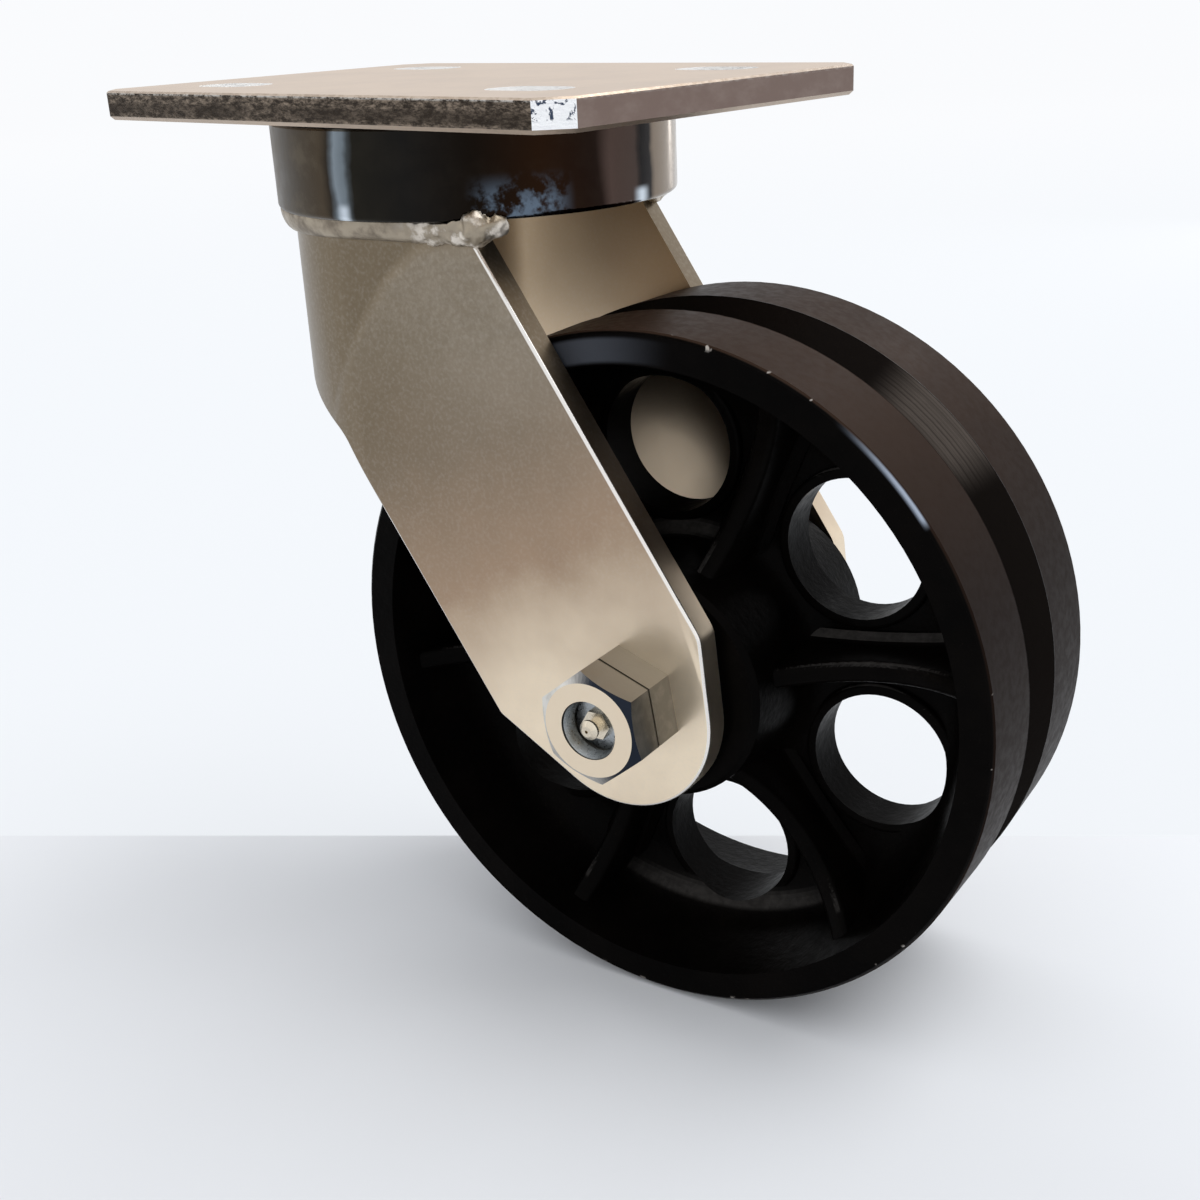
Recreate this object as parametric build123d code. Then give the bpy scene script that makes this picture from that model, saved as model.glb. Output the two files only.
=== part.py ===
"""Kingpinless swivel caster with a six-rib cast iron V-groove wheel.

Millimetres, +Z up. The origin is the centre of the top plate's mounting face.
The fork is modelled with its trail along +X and then turned by rest_swivel.
"""

from build123d import *
from math import acos, atan2, cos, degrees, hypot, radians, sin, sqrt, tan
import os

# Overall
overall_height = 196.85
wheel_radius = 76.2
swivel_offset = 55.5
rest_swivel = 8.6

# Top plate
plate_length = 137.0
plate_width = 97.0
plate_thickness = 6.0
plate_corner_clip = 5.5
plate_edge_bevel = 0.8
slot_width = 11.1
slot_length = 19.0
slot_spacing_x = 88.0
slot_spacing_y = 57.0
boss_radius = 22.0
boss_bore_radius = 13.0
boss_bore_floor = 3.0

# Swivel ring
ring_radius = 43.4
ring_gap = 0.8
ring_height = 17.6
ring_bottom_round = 1.2
ring_top_chamfer = 0.4
ring_bore_clearance = 1.0
ring_lip_thickness = 8.8

# Swivel balls
upper_ball_diameter = 7.938
upper_pitch_radius = 34.0
upper_ball_count = 20
lower_ball_diameter = 6.35
lower_pitch_radius = 26.0
lower_ball_count = 18
lower_groove_depth = 1.2
ball_clearance = 0.05

# Lower race under the ring's lip
race_radius = 29.2
race_clearance = 0.5
race_thickness = 3.2
race_fit = 0.02
race_weld_size = 1.6

# Dust seal between plate and ring
seal_inset = 1.8
seal_width = 2.4
seal_gap = 0.2

# Legs
leg_gap = 58.0
leg_thickness = 6.2
leg_edge_round = 0.8
leg_bend_centre_x = -9.0
leg_bend_radius = 30.0
leg_wrap_angle = 72.0
leg_front_top_x = 21.2
leg_knee_ahead = 17.1
leg_knee_above = 17.05
leg_knee_round = 6.0
leg_end_radius = 22.3
leg_end_shift_x = -3.3
leg_end_shift_z = -3.0
leg_heel_behind = 34.0
leg_heel_below = 10.35
leg_heel_round = 3.0
leg_back_x = -16.2
leg_back_drop = 47.2
leg_back_round = 12.0
leg_flange_x = -31.0
leg_flange_share = 0.191

# Weld beads
weld_throw = 3.0
weld_height = 4.8
weld_blob_radius = 4.4
weld_blob_ahead = 2.6
weld_blob_back = 6.5
weld_tail_radius = 2.9
weld_tail_ahead = 6.0

# Axle hardware
axle_diameter = 12.7
axle_hole_clearance = 0.15
spanner_diameter = 19.05
spanner_bore_clearance = 0.05
axle_head_flats = 21.6
axle_head_height = 7.94
nut_flats = 21.6
nut_thickness = 7.94
nut_thread_clearance = 0.03
nut_chamfer_share = 0.95
nut_relief = 0.3
nut_turn = 39.0
jam_nut_turn = 39.0
axle_recess = 4.4
axle_grease_bore = 2.4
axle_grease_overrun = 4.0
washer_width = 8.0
washer_clearance = 0.1
hub_end_play = 0.1
hub_half_length = 27.0

# Grease fittings
fitting_hex = 5.6
fitting_hex_height = 1.6
fitting_neck_radius = 1.5
fitting_neck_length = 1.2
fitting_head_radius = 2.1
fitting_head_length = 2.2
fitting_shank_length = 4.0
swivel_fitting_angle = 150.0
swivel_fitting_drop = 9.5

# Wheel casting
wheel_width = 55.5
groove_width = 15.9
groove_angle = 90.0
tread_fall = 0.3
rim_edge_thickness = 7.2
rim_root_thickness = 11.6
rim_edge_chamfer = 0.8
rim_web_round = 13.0
web_thickness = 7.4
hub_radius = 25.8
hub_root_growth = 1.8
hub_web_round = 7.0
hub_edge_chamfer = 1.2
hub_bore_chamfer = 1.0
hub_bore_radius = 15.08
rib_count = 6
rib_start_angle = 8.2
rib_hub_thickness = 10.6
rib_waist_thickness = 8.2
rib_rim_thickness = 11.2
rib_draft = 8.0
rib_edge_round = 1.6
rib_hub_height = 23.5
rib_waist_height = 13.5
rib_waist_radius = 46.0
rib_rim_height = 24.5
rib_root_growth = 1.5
rib_root_height = 2.2
window_centre_radius = 47.2
window_radius = 15.2
window_lip_width = 2.4
window_lip_height = 1.3
window_lip_round = 1.0

# Roller bearing
roller_count = 12
roller_clearance = 0.04
roller_length = 44.0
cage_radial_clearance = 0.6
cage_pocket_clearance = 0.2
cage_end_width = 3.0

# Values that follow from the sizes above
axle_height = wheel_radius - overall_height
rim_inner_radius = wheel_radius - rim_edge_thickness
rim_root_radius = wheel_radius - rim_root_thickness
seal_outer_radius = ring_radius - seal_inset
seal_inner_radius = seal_outer_radius - seal_width
washer_outer_radius = spanner_diameter / 2 + washer_width
ring_top = -plate_thickness - ring_gap
ring_bottom = ring_top - ring_height
lip_bottom = ring_top - ring_lip_thickness
leg_flange_drop = leg_flange_share * overall_height
upper_ball_radius = upper_ball_diameter / 2
lower_ball_radius = lower_ball_diameter / 2
upper_race_radius = upper_ball_radius + ball_clearance
lower_race_radius = lower_ball_radius + ball_clearance
upper_ball_z = (ring_top - plate_thickness) / 2
lower_ball_z = lip_bottom + lower_groove_depth - lower_race_radius
race_top = lower_ball_z - lower_race_radius + lower_groove_depth
race_bottom = race_top - race_thickness
boss_bottom = race_bottom
leg_inner = leg_gap / 2
leg_outer = leg_inner + leg_thickness
axle_radius = axle_diameter / 2
spanner_radius = spanner_diameter / 2
washer_thickness = leg_inner - hub_half_length - hub_end_play
half_wheel = wheel_width / 2
groove_depth = groove_width / 2 / tan(radians(groove_angle / 2))
roller_radius = (hub_bore_radius - spanner_radius) / 2 - roller_clearance
roller_pitch = (hub_bore_radius + spanner_radius) / 2


def revolve_profile(points):
    """Turn a closed profile of (radius, height) points about the Z axis."""
    with BuildPart() as turned:
        with BuildSketch(Plane.XZ):
            with BuildLine():
                Polyline(*points, close=True)
            make_face()
        revolve(axis=Axis.Z)
    return turned.part


def in_axle_frame(shape):
    """Lay a part that was built along +Z on the axle, its +Z pointing to the near side (-Y)."""
    return Pos(swivel_offset, 0, axle_height) * Rot(90, 0, 0) * shape


def at_rest(shape):
    """Turn a fork part to the swivel angle of the rest pose."""
    return Rot(0, 0, rest_swivel) * shape


def ball_row(radius, pitch_radius, height, count):
    """One ring of bearing balls."""
    ball = Sphere(radius)
    row = [Pos(0, 0, height) * place * ball for place in PolarLocations(pitch_radius, count)]
    return Compound(children=row)


def top_plate():
    """Forged plate with clipped corners, four slots, the race in its face and the hollow boss."""
    with BuildPart() as plate:
        with BuildSketch(Plane.XY.offset(-plate_thickness)):
            Rectangle(plate_length, plate_width)
            chamfer(vertices(), plate_corner_clip)
        extrude(amount=plate_thickness)
        chamfer(faces().sort_by(Axis.Z)[0].edges(), plate_edge_bevel)
        chamfer(faces().sort_by(Axis.Z)[-1].edges(), plate_edge_bevel / 2)
        with Locations((0, 0, -plate_thickness)):
            Cylinder(
                boss_radius,
                -plate_thickness - boss_bottom,
                align=(Align.CENTER, Align.CENTER, Align.MAX),
            )
        with Locations((0, 0, boss_bottom)):
            Cylinder(
                boss_bore_radius,
                -boss_bottom - plate_thickness - boss_bore_floor,
                align=(Align.CENTER, Align.CENTER, Align.MIN),
                mode=Mode.SUBTRACT,
            )
        with BuildSketch(Plane.XY) as slots:
            with GridLocations(slot_spacing_x, slot_spacing_y, 2, 2):
                SlotOverall(slot_length, slot_width)
        extrude(amount=-plate_thickness, mode=Mode.SUBTRACT)
    race = Pos(0, 0, upper_ball_z) * Torus(upper_pitch_radius, upper_race_radius)
    return plate.part - race


def swivel_ring():
    """Turned ring: race in its top face, lip over the lower balls, rounded bottom edge."""
    bore = boss_radius + ring_bore_clearance
    recess = race_radius + race_clearance
    with BuildPart() as ring:
        with BuildSketch(Plane.XZ):
            with BuildLine():
                Polyline(
                    (bore, ring_top),
                    (bore, lip_bottom),
                    (recess, lip_bottom),
                    (recess, ring_bottom),
                    (ring_radius, ring_bottom),
                    (ring_radius, ring_top),
                    close=True,
                )
            make_face()
            corner = vertices().sort_by_distance((ring_radius, ring_bottom))[0]
            fillet(corner, ring_bottom_round)
            corner = vertices().sort_by_distance((ring_radius, ring_top))[0]
            chamfer(corner, ring_top_chamfer)
        revolve(axis=Axis.Z)
    solid = ring.part
    solid -= Pos(0, 0, upper_ball_z) * Torus(upper_pitch_radius, upper_race_radius)
    solid -= Pos(0, 0, lower_ball_z) * Torus(lower_pitch_radius, lower_race_radius)
    shank_hole = Cylinder(fitting_neck_radius + race_fit, 2 * fitting_shank_length)
    return solid - swivel_fitting_place() * shank_hole


def swivel_fitting_place():
    """Where the ring's grease fitting stands, +Z pointing out of the ring."""
    spin = Rot(0, 0, swivel_fitting_angle)
    return spin * Pos(ring_radius, 0, ring_top - swivel_fitting_drop) * Rot(0, 90, 0)


def lower_race():
    """Pressed ring that carries the lower balls under the swivel ring's lip."""
    bore = boss_radius + race_fit
    body = revolve_profile(
        [(bore, race_bottom), (race_radius, race_bottom), (race_radius, race_top), (bore, race_top)]
    )
    return body - Pos(0, 0, lower_ball_z) * Torus(lower_pitch_radius, lower_race_radius)


def race_weld():
    """Bead that ties the lower race to the end of the boss."""
    low = race_bottom - race_weld_size
    inner = boss_radius - race_weld_size
    outer = boss_radius + race_weld_size
    return revolve_profile([(inner, race_bottom), (outer, race_bottom), (boss_radius, low)])


def dust_seal():
    """Seal ring that stands on the swivel ring, just clear of the plate."""
    top = -plate_thickness - seal_gap
    return revolve_profile(
        [
            (seal_inner_radius, ring_top),
            (seal_outer_radius, ring_top),
            (seal_outer_radius, top),
            (seal_inner_radius, top),
        ]
    )


def tangent_point(point, centre, radius, side):
    """Point where the line from a point touches a circle; side picks which of the two."""
    dx = point[0] - centre[0]
    dz = point[1] - centre[1]
    turn = acos(radius / hypot(dx, dz)) * side
    angle = atan2(dz, dx) + turn
    return (centre[0] + radius * cos(angle), centre[1] + radius * sin(angle))


def leg_outline():
    """Side view of a leg: slanting edges, rounded end about the axle, heel cut and flange end."""
    centre = (swivel_offset + leg_end_shift_x, axle_height + leg_end_shift_z)
    knee = (swivel_offset + leg_knee_ahead, axle_height + leg_knee_above)
    heel = (swivel_offset - leg_heel_behind, axle_height - leg_heel_below)
    back = (leg_back_x, ring_bottom - leg_back_drop)
    flange = (leg_flange_x, ring_bottom - leg_flange_drop)
    front = tangent_point(knee, centre, leg_end_radius, -1)
    under = tangent_point(heel, centre, leg_end_radius, 1)
    low = radians((degrees(atan2(front[1] - centre[1], front[0] - centre[0])) - 90) / 2)
    middle = (centre[0] + leg_end_radius * cos(low), centre[1] + leg_end_radius * sin(low))
    far_x = leg_bend_centre_x - leg_bend_radius - 1
    with BuildSketch(Plane.XZ) as outline:
        with BuildLine():
            Line((leg_front_top_x, ring_bottom), knee)
            Line(knee, front)
            ThreePointArc(front, middle, under)
            Line(under, heel)
            Line(heel, back)
            Line(back, flange)
            Line(flange, (far_x, flange[1]))
            Line((far_x, flange[1]), (far_x, ring_bottom))
            Line((far_x, ring_bottom), (leg_front_top_x, ring_bottom))
        make_face()
        for corner, size in ((knee, leg_knee_round), (heel, leg_heel_round), (back, leg_back_round)):
            fillet(vertices().sort_by_distance(corner)[0], size)
    return outline.sketch


def leg_plan(outer_growth=0.0):
    """Top view of the near leg: a flat run that bends round under the ring."""
    outer = leg_outer + outer_growth
    bend_y = leg_bend_radius - leg_outer
    ro = leg_bend_radius + outer_growth
    ri = leg_bend_radius - leg_thickness
    cx = leg_bend_centre_x
    reach = swivel_offset + 2 * leg_end_radius
    half = radians(90 + leg_wrap_angle / 2)
    full = radians(90 + leg_wrap_angle)

    def rim_point(radius, angle):
        return (cx + radius * cos(angle), bend_y - radius * sin(angle))

    with BuildSketch(Plane.XY) as plan:
        with BuildLine():
            Line((reach, -leg_inner), (reach, -outer))
            Line((reach, -outer), (cx, -outer))
            ThreePointArc((cx, -outer), rim_point(ro, half), rim_point(ro, full))
            Line(rim_point(ro, full), rim_point(ri, full))
            ThreePointArc(rim_point(ri, full), rim_point(ri, half), (cx, -leg_inner))
            Line((cx, -leg_inner), (reach, -leg_inner))
        make_face()
    return plan.sketch


def near_leg():
    """Formed leg plate: the side outline cut through the bent plan, bored for the axle."""
    depth = ring_radius + leg_bend_radius
    side = extrude(leg_outline(), amount=depth)
    wrap = extrude(leg_plan(), amount=-overall_height)
    leg = side & wrap
    hole = in_axle_frame(Cylinder(axle_radius + axle_hole_clearance, 2 * depth))
    leg = leg - hole
    face = leg.faces().filter_by(Axis.Y).sort_by(Axis.Y)[0]
    rim = [edge for edge in face.outer_wire().edges() if edge.bounding_box().min.Z < ring_bottom - 1]
    rounded = [edge for edge in rim if edge.center().X > leg_bend_centre_x + 1]
    return fillet(rounded, leg_edge_round)


def weld_bead(leg, ring):
    """Fillet bead along the joint of ring and leg, ending in lumps at the front edge."""
    path_y = -leg_outer
    bend_y = leg_bend_radius - leg_outer
    radius = leg_bend_radius
    end = radians(90 + leg_wrap_angle)
    half = radians(90 + leg_wrap_angle / 2)
    cx = leg_bend_centre_x
    start = (leg_front_top_x, path_y, ring_bottom)
    turn = (cx, path_y, ring_bottom)
    with BuildPart() as bead:
        with BuildLine():
            Line(start, turn)
            ThreePointArc(
                turn,
                (cx + radius * cos(half), bend_y - radius * sin(half), ring_bottom),
                (cx + radius * cos(end), bend_y - radius * sin(end), ring_bottom),
            )
        with BuildSketch(Plane(origin=start, x_dir=(0, 1, 0), z_dir=(-1, 0, 0))):
            Ellipse(weld_throw, weld_height)
        sweep()
    solid = bead.part
    lump = Sphere(weld_blob_radius)
    front = Pos(leg_front_top_x + weld_blob_ahead, path_y + weld_throw / 2, ring_bottom - weld_throw / 3)
    back = Pos(leg_front_top_x - weld_blob_back, path_y + weld_throw / 2, ring_bottom - weld_throw / 2)
    solid += front * lump
    solid += back * lump
    tail = Pos(leg_front_top_x + weld_tail_ahead, path_y + weld_throw, ring_bottom - weld_throw / 4)
    solid += tail * Sphere(weld_tail_radius)
    reach = 4 * ring_radius
    behind_flat = Box(reach, reach, overall_height, align=(Align.MIN, Align.MIN, Align.CENTER))
    behind_bend = Pos(cx, bend_y, ring_bottom) * Cylinder(leg_bend_radius - leg_thickness, overall_height)
    solid = solid - leg - ring
    solid = solid - Pos(cx, -leg_inner, ring_bottom) * behind_flat - behind_bend
    return max(solid.solids(), key=lambda piece: piece.volume)


def hex_block(flats, height, bore_radius, turn, crown):
    """Hexagon bored through when bore_radius is set; a crown chamfers its outer corners."""
    corner = flats / sqrt(3)
    face = flats / 2 * nut_chamfer_share
    drop = (corner - face) * tan(radians(30)) if crown else nut_relief
    shoulder = [(corner, height - drop)] if crown else [(corner, height - drop), (face, height - drop)]
    with BuildPart() as block:
        with BuildSketch():
            RegularPolygon(corner, 6, rotation=turn)
        extrude(amount=height)
    solid = block.part & revolve_profile([(0, 0), (corner, 0), *shoulder, (face, height), (0, height)])
    if bore_radius:
        solid = solid - Cylinder(bore_radius, height, align=(Align.CENTER, Align.CENTER, Align.MIN))
    return solid


def axle_bolt():
    """Shaft, hex head on the far side and the drilled grease way."""
    near_end = leg_outer + 2 * nut_thickness - axle_recess
    shaft = Pos(0, 0, -leg_outer) * Cylinder(
        axle_radius, leg_outer + near_end, align=(Align.CENTER, Align.CENTER, Align.MIN)
    )
    shaft = chamfer(shaft.faces().sort_by(Axis.Z)[-1].edges(), 0.8)
    head = hex_block(axle_head_flats, axle_head_height, 0, nut_turn, True)
    head = Pos(0, 0, -leg_outer) * Rot(180, 0, 0) * head
    bolt = shaft + head
    way = Pos(0, 0, near_end) * Cylinder(
        axle_grease_bore, near_end + axle_grease_overrun, align=(Align.CENTER, Align.CENTER, Align.MAX)
    )
    cross = Cylinder(axle_grease_bore * 0.7, 2 * axle_diameter, rotation=(90, 0, 0))
    return in_axle_frame(bolt - way - cross)


def axle_nuts():
    """Axle nut against the leg and the jam nut on it."""
    bore = axle_radius + nut_thread_clearance
    nut = hex_block(nut_flats, nut_thickness, bore, nut_turn, False)
    jam = hex_block(nut_flats, nut_thickness, bore, jam_nut_turn, True)
    return (
        in_axle_frame(Pos(0, 0, leg_outer) * nut),
        in_axle_frame(Pos(0, 0, leg_outer + nut_thickness) * jam),
    )


def grease_fitting(shank_radius):
    """Hex body, neck and the rounded head, built along +Z from its seat; returns body and head."""
    body = extrude(RegularPolygon(fitting_hex / sqrt(3), 6), amount=fitting_hex_height)
    body += Pos(0, 0, -fitting_shank_length) * Cylinder(
        shank_radius, fitting_shank_length, align=(Align.CENTER, Align.CENTER, Align.MIN)
    )
    neck_end = fitting_hex_height + fitting_neck_length
    body += Pos(0, 0, fitting_hex_height) * Cylinder(
        fitting_neck_radius, fitting_neck_length, align=(Align.CENTER, Align.CENTER, Align.MIN)
    )
    with BuildPart() as head:
        with BuildSketch(Plane.XZ):
            with BuildLine():
                Polyline(
                    (0.35, neck_end + 0.8),
                    (0.35, neck_end + fitting_head_length),
                    (fitting_head_radius * 0.55, neck_end + fitting_head_length),
                    (fitting_head_radius, neck_end + fitting_head_length * 0.6),
                    (fitting_head_radius, neck_end + fitting_head_length * 0.35),
                    (fitting_neck_radius, neck_end),
                    (0, neck_end),
                    (0, neck_end + 0.8),
                    close=True,
                )
            make_face()
        revolve(axis=Axis.Z)
    return body, head.part


def thrust_washer(side):
    """Hardened washer between hub and leg; side is 1 near, -1 far."""
    inner = spanner_radius + washer_clearance
    ring = revolve_profile(
        [
            (inner, leg_inner - washer_thickness),
            (washer_outer_radius, leg_inner - washer_thickness),
            (washer_outer_radius, leg_inner),
            (inner, leg_inner),
        ]
    )
    return in_axle_frame(ring if side > 0 else Rot(180, 0, 0) * ring)


def spanner_bushing():
    """Sleeve clamped between the legs, the inner track of the rollers."""
    tube = Cylinder(spanner_radius, leg_gap) - Cylinder(axle_radius + spanner_bore_clearance, leg_gap)
    return in_axle_frame(tube)


def bearing_rollers():
    """Full ring of straight rollers."""
    roller = Cylinder(roller_radius, roller_length)
    row = [place * roller for place in PolarLocations(roller_pitch, roller_count)]
    return in_axle_frame(Compound(children=row))


def roller_cage():
    """Thin sleeve with one long pocket for each roller."""
    outer = hub_bore_radius - cage_radial_clearance
    inner = spanner_radius + cage_radial_clearance
    length = roller_length + 2 * cage_end_width
    cage = Cylinder(outer, length) - Cylinder(inner, length)
    pocket = Cylinder(roller_radius + cage_pocket_clearance, roller_length + 2 * cage_pocket_clearance)
    for place in PolarLocations(roller_pitch, roller_count):
        cage -= place * pocket
    return in_axle_frame(cage)


def rim_and_web():
    """Turned body of the wheel: V-groove rim, flared inner wall, web and hub."""
    web = web_thickness / 2
    edge_radius = wheel_radius - tread_fall
    right = [
        (hub_bore_radius, hub_half_length - hub_bore_chamfer),
        (hub_bore_radius + hub_bore_chamfer, hub_half_length),
        (hub_radius - hub_edge_chamfer, hub_half_length),
        (hub_radius, hub_half_length - hub_edge_chamfer),
        (hub_radius + hub_root_growth, web),
        (rim_root_radius, web),
        (rim_inner_radius, half_wheel),
        (edge_radius - rim_edge_chamfer, half_wheel),
        (edge_radius, half_wheel - rim_edge_chamfer),
        (wheel_radius, groove_width / 2),
    ]
    left = [(radius, -height) for radius, height in reversed(right)]
    with BuildPart() as body:
        with BuildSketch(Plane.XZ):
            with BuildLine():
                Polyline(*right, (wheel_radius - groove_depth, 0), *left, close=True)
            make_face()
            for side in (1, -1):
                root = vertices().sort_by_distance((hub_radius + hub_root_growth, side * web))[0]
                fillet(root, hub_web_round)
                root = vertices().sort_by_distance((rim_root_radius, side * web))[0]
                fillet(root, rim_web_round)
        revolve(axis=Axis.Z)
    return body.part


def rib_plan(growth=0.0):
    """Rib seen along the axle where it crosses the web: narrow at its waist, wider at hub and rim."""
    start = hub_radius - hub_web_round / 2
    end = rim_inner_radius + web_thickness / 4
    hub = rib_hub_thickness / 2 + growth
    waist = rib_waist_thickness / 2 + growth
    rim = rib_rim_thickness / 2 + growth
    with BuildSketch() as plan:
        with BuildLine():
            ThreePointArc((start, hub), (rib_waist_radius, waist), (end, rim))
            Line((end, rim), (end, -rim))
            ThreePointArc((end, -rim), (rib_waist_radius, -waist), (start, -hub))
            Line((start, -hub), (start, hub))
        make_face()
    return plan.sketch


def wheel_rib():
    """One rib: drafted sides, rounded edges that dip between hub and rim, and a wider root."""
    start = hub_radius - hub_web_round / 2
    end = rim_inner_radius + web_thickness / 4
    dip = rib_waist_height
    with BuildPart() as rib:
        with BuildSketch(Plane.XZ):
            with BuildLine():
                ThreePointArc((start, rib_hub_height), (rib_waist_radius, dip), (end, rib_rim_height))
                Line((end, rib_rim_height), (end, -rib_rim_height))
                ThreePointArc((end, -rib_rim_height), (rib_waist_radius, -dip), (start, -rib_hub_height))
                Line((start, -rib_hub_height), (start, rib_hub_height))
            make_face()
        extrude(amount=rib_rim_thickness, both=True)
    half = extrude(rib_plan(), amount=rib_rim_height + web_thickness / 4, taper=rib_draft)
    blade = rib.part & (half + mirror(half, Plane.XY))
    long_edges = [edge for edge in blade.edges() if edge.length > rib_waist_radius / 2]
    top = [edge for edge in long_edges if abs(edge.center().Z) > rib_waist_height / 2]
    blade = fillet(top, rib_edge_round)
    height = web_thickness / 2 + rib_root_height
    root = extrude(rib_plan(rib_root_growth), amount=height, both=True)
    sides = [edge for edge in root.faces().filter_by(Axis.Z).edges() if edge.length > rib_waist_radius / 2]
    return blade + chamfer(sides, rib_root_growth)


def window_disc(radius, half_depth):
    """Round slug at the place of one window, in the middle of the web."""
    return Pos(window_centre_radius, 0, 0) * Cylinder(radius, 2 * half_depth)


def cast_wheel():
    """Single iron casting with six ribs and six lipped windows."""
    wheel = rim_and_web()
    step = 360 / rib_count
    rib = wheel_rib()
    lip_half = web_thickness / 2 + window_lip_height
    lip = window_disc(window_radius + window_lip_width, lip_half)
    lip = fillet(lip.faces().filter_by(Axis.Z).edges(), window_lip_round)
    hole = window_disc(window_radius, half_wheel)
    wall = rim_inner_radius + web_thickness / 4
    keep = [(hub_bore_radius, 0), (hub_bore_radius, half_wheel), (wall, half_wheel)]
    keep += [(wall, groove_width), (wheel_radius - groove_depth - tread_fall, 0)]
    keep += [(radius, -height) for radius, height in reversed(keep[1:-1])]
    groove_keep = revolve_profile(keep)
    ribs = [Rot(0, 0, index * step) * rib for index in range(rib_count)]
    lips = [Rot(0, 0, (index + 0.5) * step) * lip for index in range(rib_count)]
    holes = [Rot(0, 0, (index + 0.5) * step) * hole for index in range(rib_count)]
    for piece in ribs + lips:
        wheel = wheel + (piece & groove_keep)
    for piece in holes:
        wheel = wheel - piece
    bore = Cylinder(hub_bore_radius, wheel_width)
    wheel = wheel - bore
    return in_axle_frame(Rot(0, 0, rib_start_angle) * wheel)


def main():
    """Build every piece and write one STEP file for each."""
    leg = near_leg()
    ring = swivel_ring()
    bead = weld_bead(leg, ring)
    nut, jam = axle_nuts()
    axle_end = leg_outer + 2 * nut_thickness - axle_recess
    body, head = grease_fitting(axle_grease_bore - race_fit)
    axle_place = Pos(0, 0, axle_end)
    ring_body, ring_head = grease_fitting(fitting_neck_radius)
    spot = swivel_fitting_place()
    pieces = {
        "top_plate": top_plate(),
        "lower_race": lower_race(),
        "race_weld": race_weld(),
        "upper_balls": ball_row(upper_ball_radius, upper_pitch_radius, upper_ball_z, upper_ball_count),
        "lower_balls": ball_row(lower_ball_radius, lower_pitch_radius, lower_ball_z, lower_ball_count),
        "swivel_ring": at_rest(ring),
        "dust_seal": at_rest(dust_seal()),
        "leg_near": at_rest(leg),
        "leg_far": at_rest(mirror(leg, Plane.XZ)),
        "weld_near": at_rest(bead),
        "weld_far": at_rest(mirror(bead, Plane.XZ)),
        "swivel_fitting": at_rest(spot * ring_body),
        "swivel_fitting_head": at_rest(spot * ring_head),
        "axle_bolt": at_rest(axle_bolt()),
        "axle_nut": at_rest(nut),
        "jam_nut": at_rest(jam),
        "axle_fitting": at_rest(in_axle_frame(axle_place * body)),
        "axle_fitting_head": at_rest(in_axle_frame(axle_place * head)),
        "washer_near": at_rest(thrust_washer(1)),
        "washer_far": at_rest(thrust_washer(-1)),
        "spanner_bushing": at_rest(spanner_bushing()),
        "roller_cage": at_rest(roller_cage()),
        "bearing_rollers": at_rest(bearing_rollers()),
        "wheel": at_rest(cast_wheel()),
    }
    os.makedirs("parts", exist_ok=True)
    for name, shape in pieces.items():
        export_step(shape, f"parts/{name}.step")


if __name__ == "__main__":
    main()
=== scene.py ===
"""Swivel caster with a V-groove track wheel: looks, floor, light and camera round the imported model."""

import logging
import math
from dataclasses import dataclass, field
from enum import Enum

import bpy
from mathutils import Euler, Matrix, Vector

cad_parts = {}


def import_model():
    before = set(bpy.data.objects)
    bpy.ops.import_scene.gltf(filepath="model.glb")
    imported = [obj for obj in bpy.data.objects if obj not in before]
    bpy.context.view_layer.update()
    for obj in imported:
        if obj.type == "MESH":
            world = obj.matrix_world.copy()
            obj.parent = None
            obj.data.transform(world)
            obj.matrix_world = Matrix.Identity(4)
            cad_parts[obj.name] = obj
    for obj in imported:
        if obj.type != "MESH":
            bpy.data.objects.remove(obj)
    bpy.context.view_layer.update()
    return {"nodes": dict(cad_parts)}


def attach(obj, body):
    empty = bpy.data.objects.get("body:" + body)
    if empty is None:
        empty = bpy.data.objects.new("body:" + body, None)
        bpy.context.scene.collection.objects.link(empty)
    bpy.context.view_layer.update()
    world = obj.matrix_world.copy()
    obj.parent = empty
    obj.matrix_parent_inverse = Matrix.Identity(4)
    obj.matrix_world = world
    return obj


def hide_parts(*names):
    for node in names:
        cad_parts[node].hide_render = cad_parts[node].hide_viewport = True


logging.basicConfig(level=logging.INFO, format="%(message)s")
log = logging.getLogger("caster")

SWIVEL_DEG = 8.6
WHEEL_RADIUS = 0.0762
WHEEL_HALF_WIDTH = 0.02775
FLOOR_Z = -0.19685
SWIVEL_OFFSET = 0.0555
AXLE_Z = WHEEL_RADIUS + FLOOR_Z
AXLE_X = SWIVEL_OFFSET * math.cos(math.radians(SWIVEL_DEG))
AXLE_Y = SWIVEL_OFFSET * math.sin(math.radians(SWIVEL_DEG))

Socket = bpy.types.NodeSocket
Color = tuple[float, float, float]


class Place(Enum):
    """Where a pattern is centred and how it is turned: location in metres, turn in degrees."""

    PLATE = ((0.0, 0.0, 0.0), (0.0, 0.0, 0.0))
    FORK = ((0.0, 0.0, 0.0), (0.0, 0.0, SWIVEL_DEG))
    WHEEL = ((AXLE_X, AXLE_Y, AXLE_Z), (90.0, 0.0, SWIVEL_DEG))


class Body(Enum):
    """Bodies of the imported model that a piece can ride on."""

    PLATE = "plate"
    FORK = "fork"
    WHEEL = "wheel"


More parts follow.
